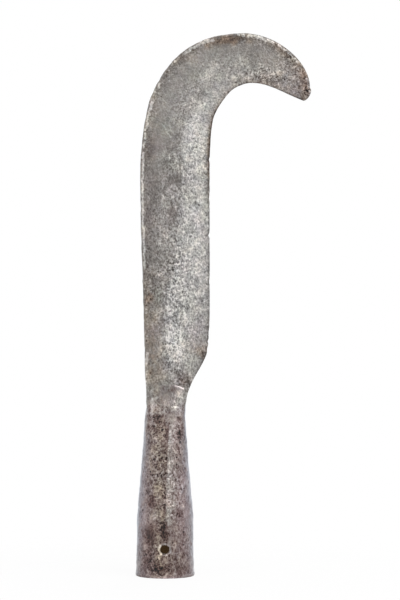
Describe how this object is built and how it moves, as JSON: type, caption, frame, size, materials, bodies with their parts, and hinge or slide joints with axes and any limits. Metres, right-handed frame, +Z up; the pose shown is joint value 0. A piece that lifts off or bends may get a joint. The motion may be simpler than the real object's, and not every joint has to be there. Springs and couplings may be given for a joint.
{
  "type": "billhook head",
  "caption": "Socketed billhook head: forged iron blade with a broad hook and blunt beak, steel cutting edge, and a rolled socket with a nail hole for a wooden handle.",
  "frame": {"origin": "centre of the socket's mouth, on the handle axis and in the plane of the rim", "axes": "+Z up the handle axis towards the hook's crown, +X towards the cutting edge and the beak, +Y through the thickness away from the nail hole"},
  "size_m": [0.1232, 0.042, 0.3795],
  "materials": {
    "blade_iron": "old forged iron, grey with brown stains, finely pitted",
    "edge_steel": "worn ground steel, pale and finely pitted",
    "socket_iron": "forged iron plate with brown and purple-grey rust"
  },
  "bodies": {
    "root": {"blade_body": "blade_iron", "steel_edge": "edge_steel", "socket": "socket_iron"}
  },
  "joints": []
}
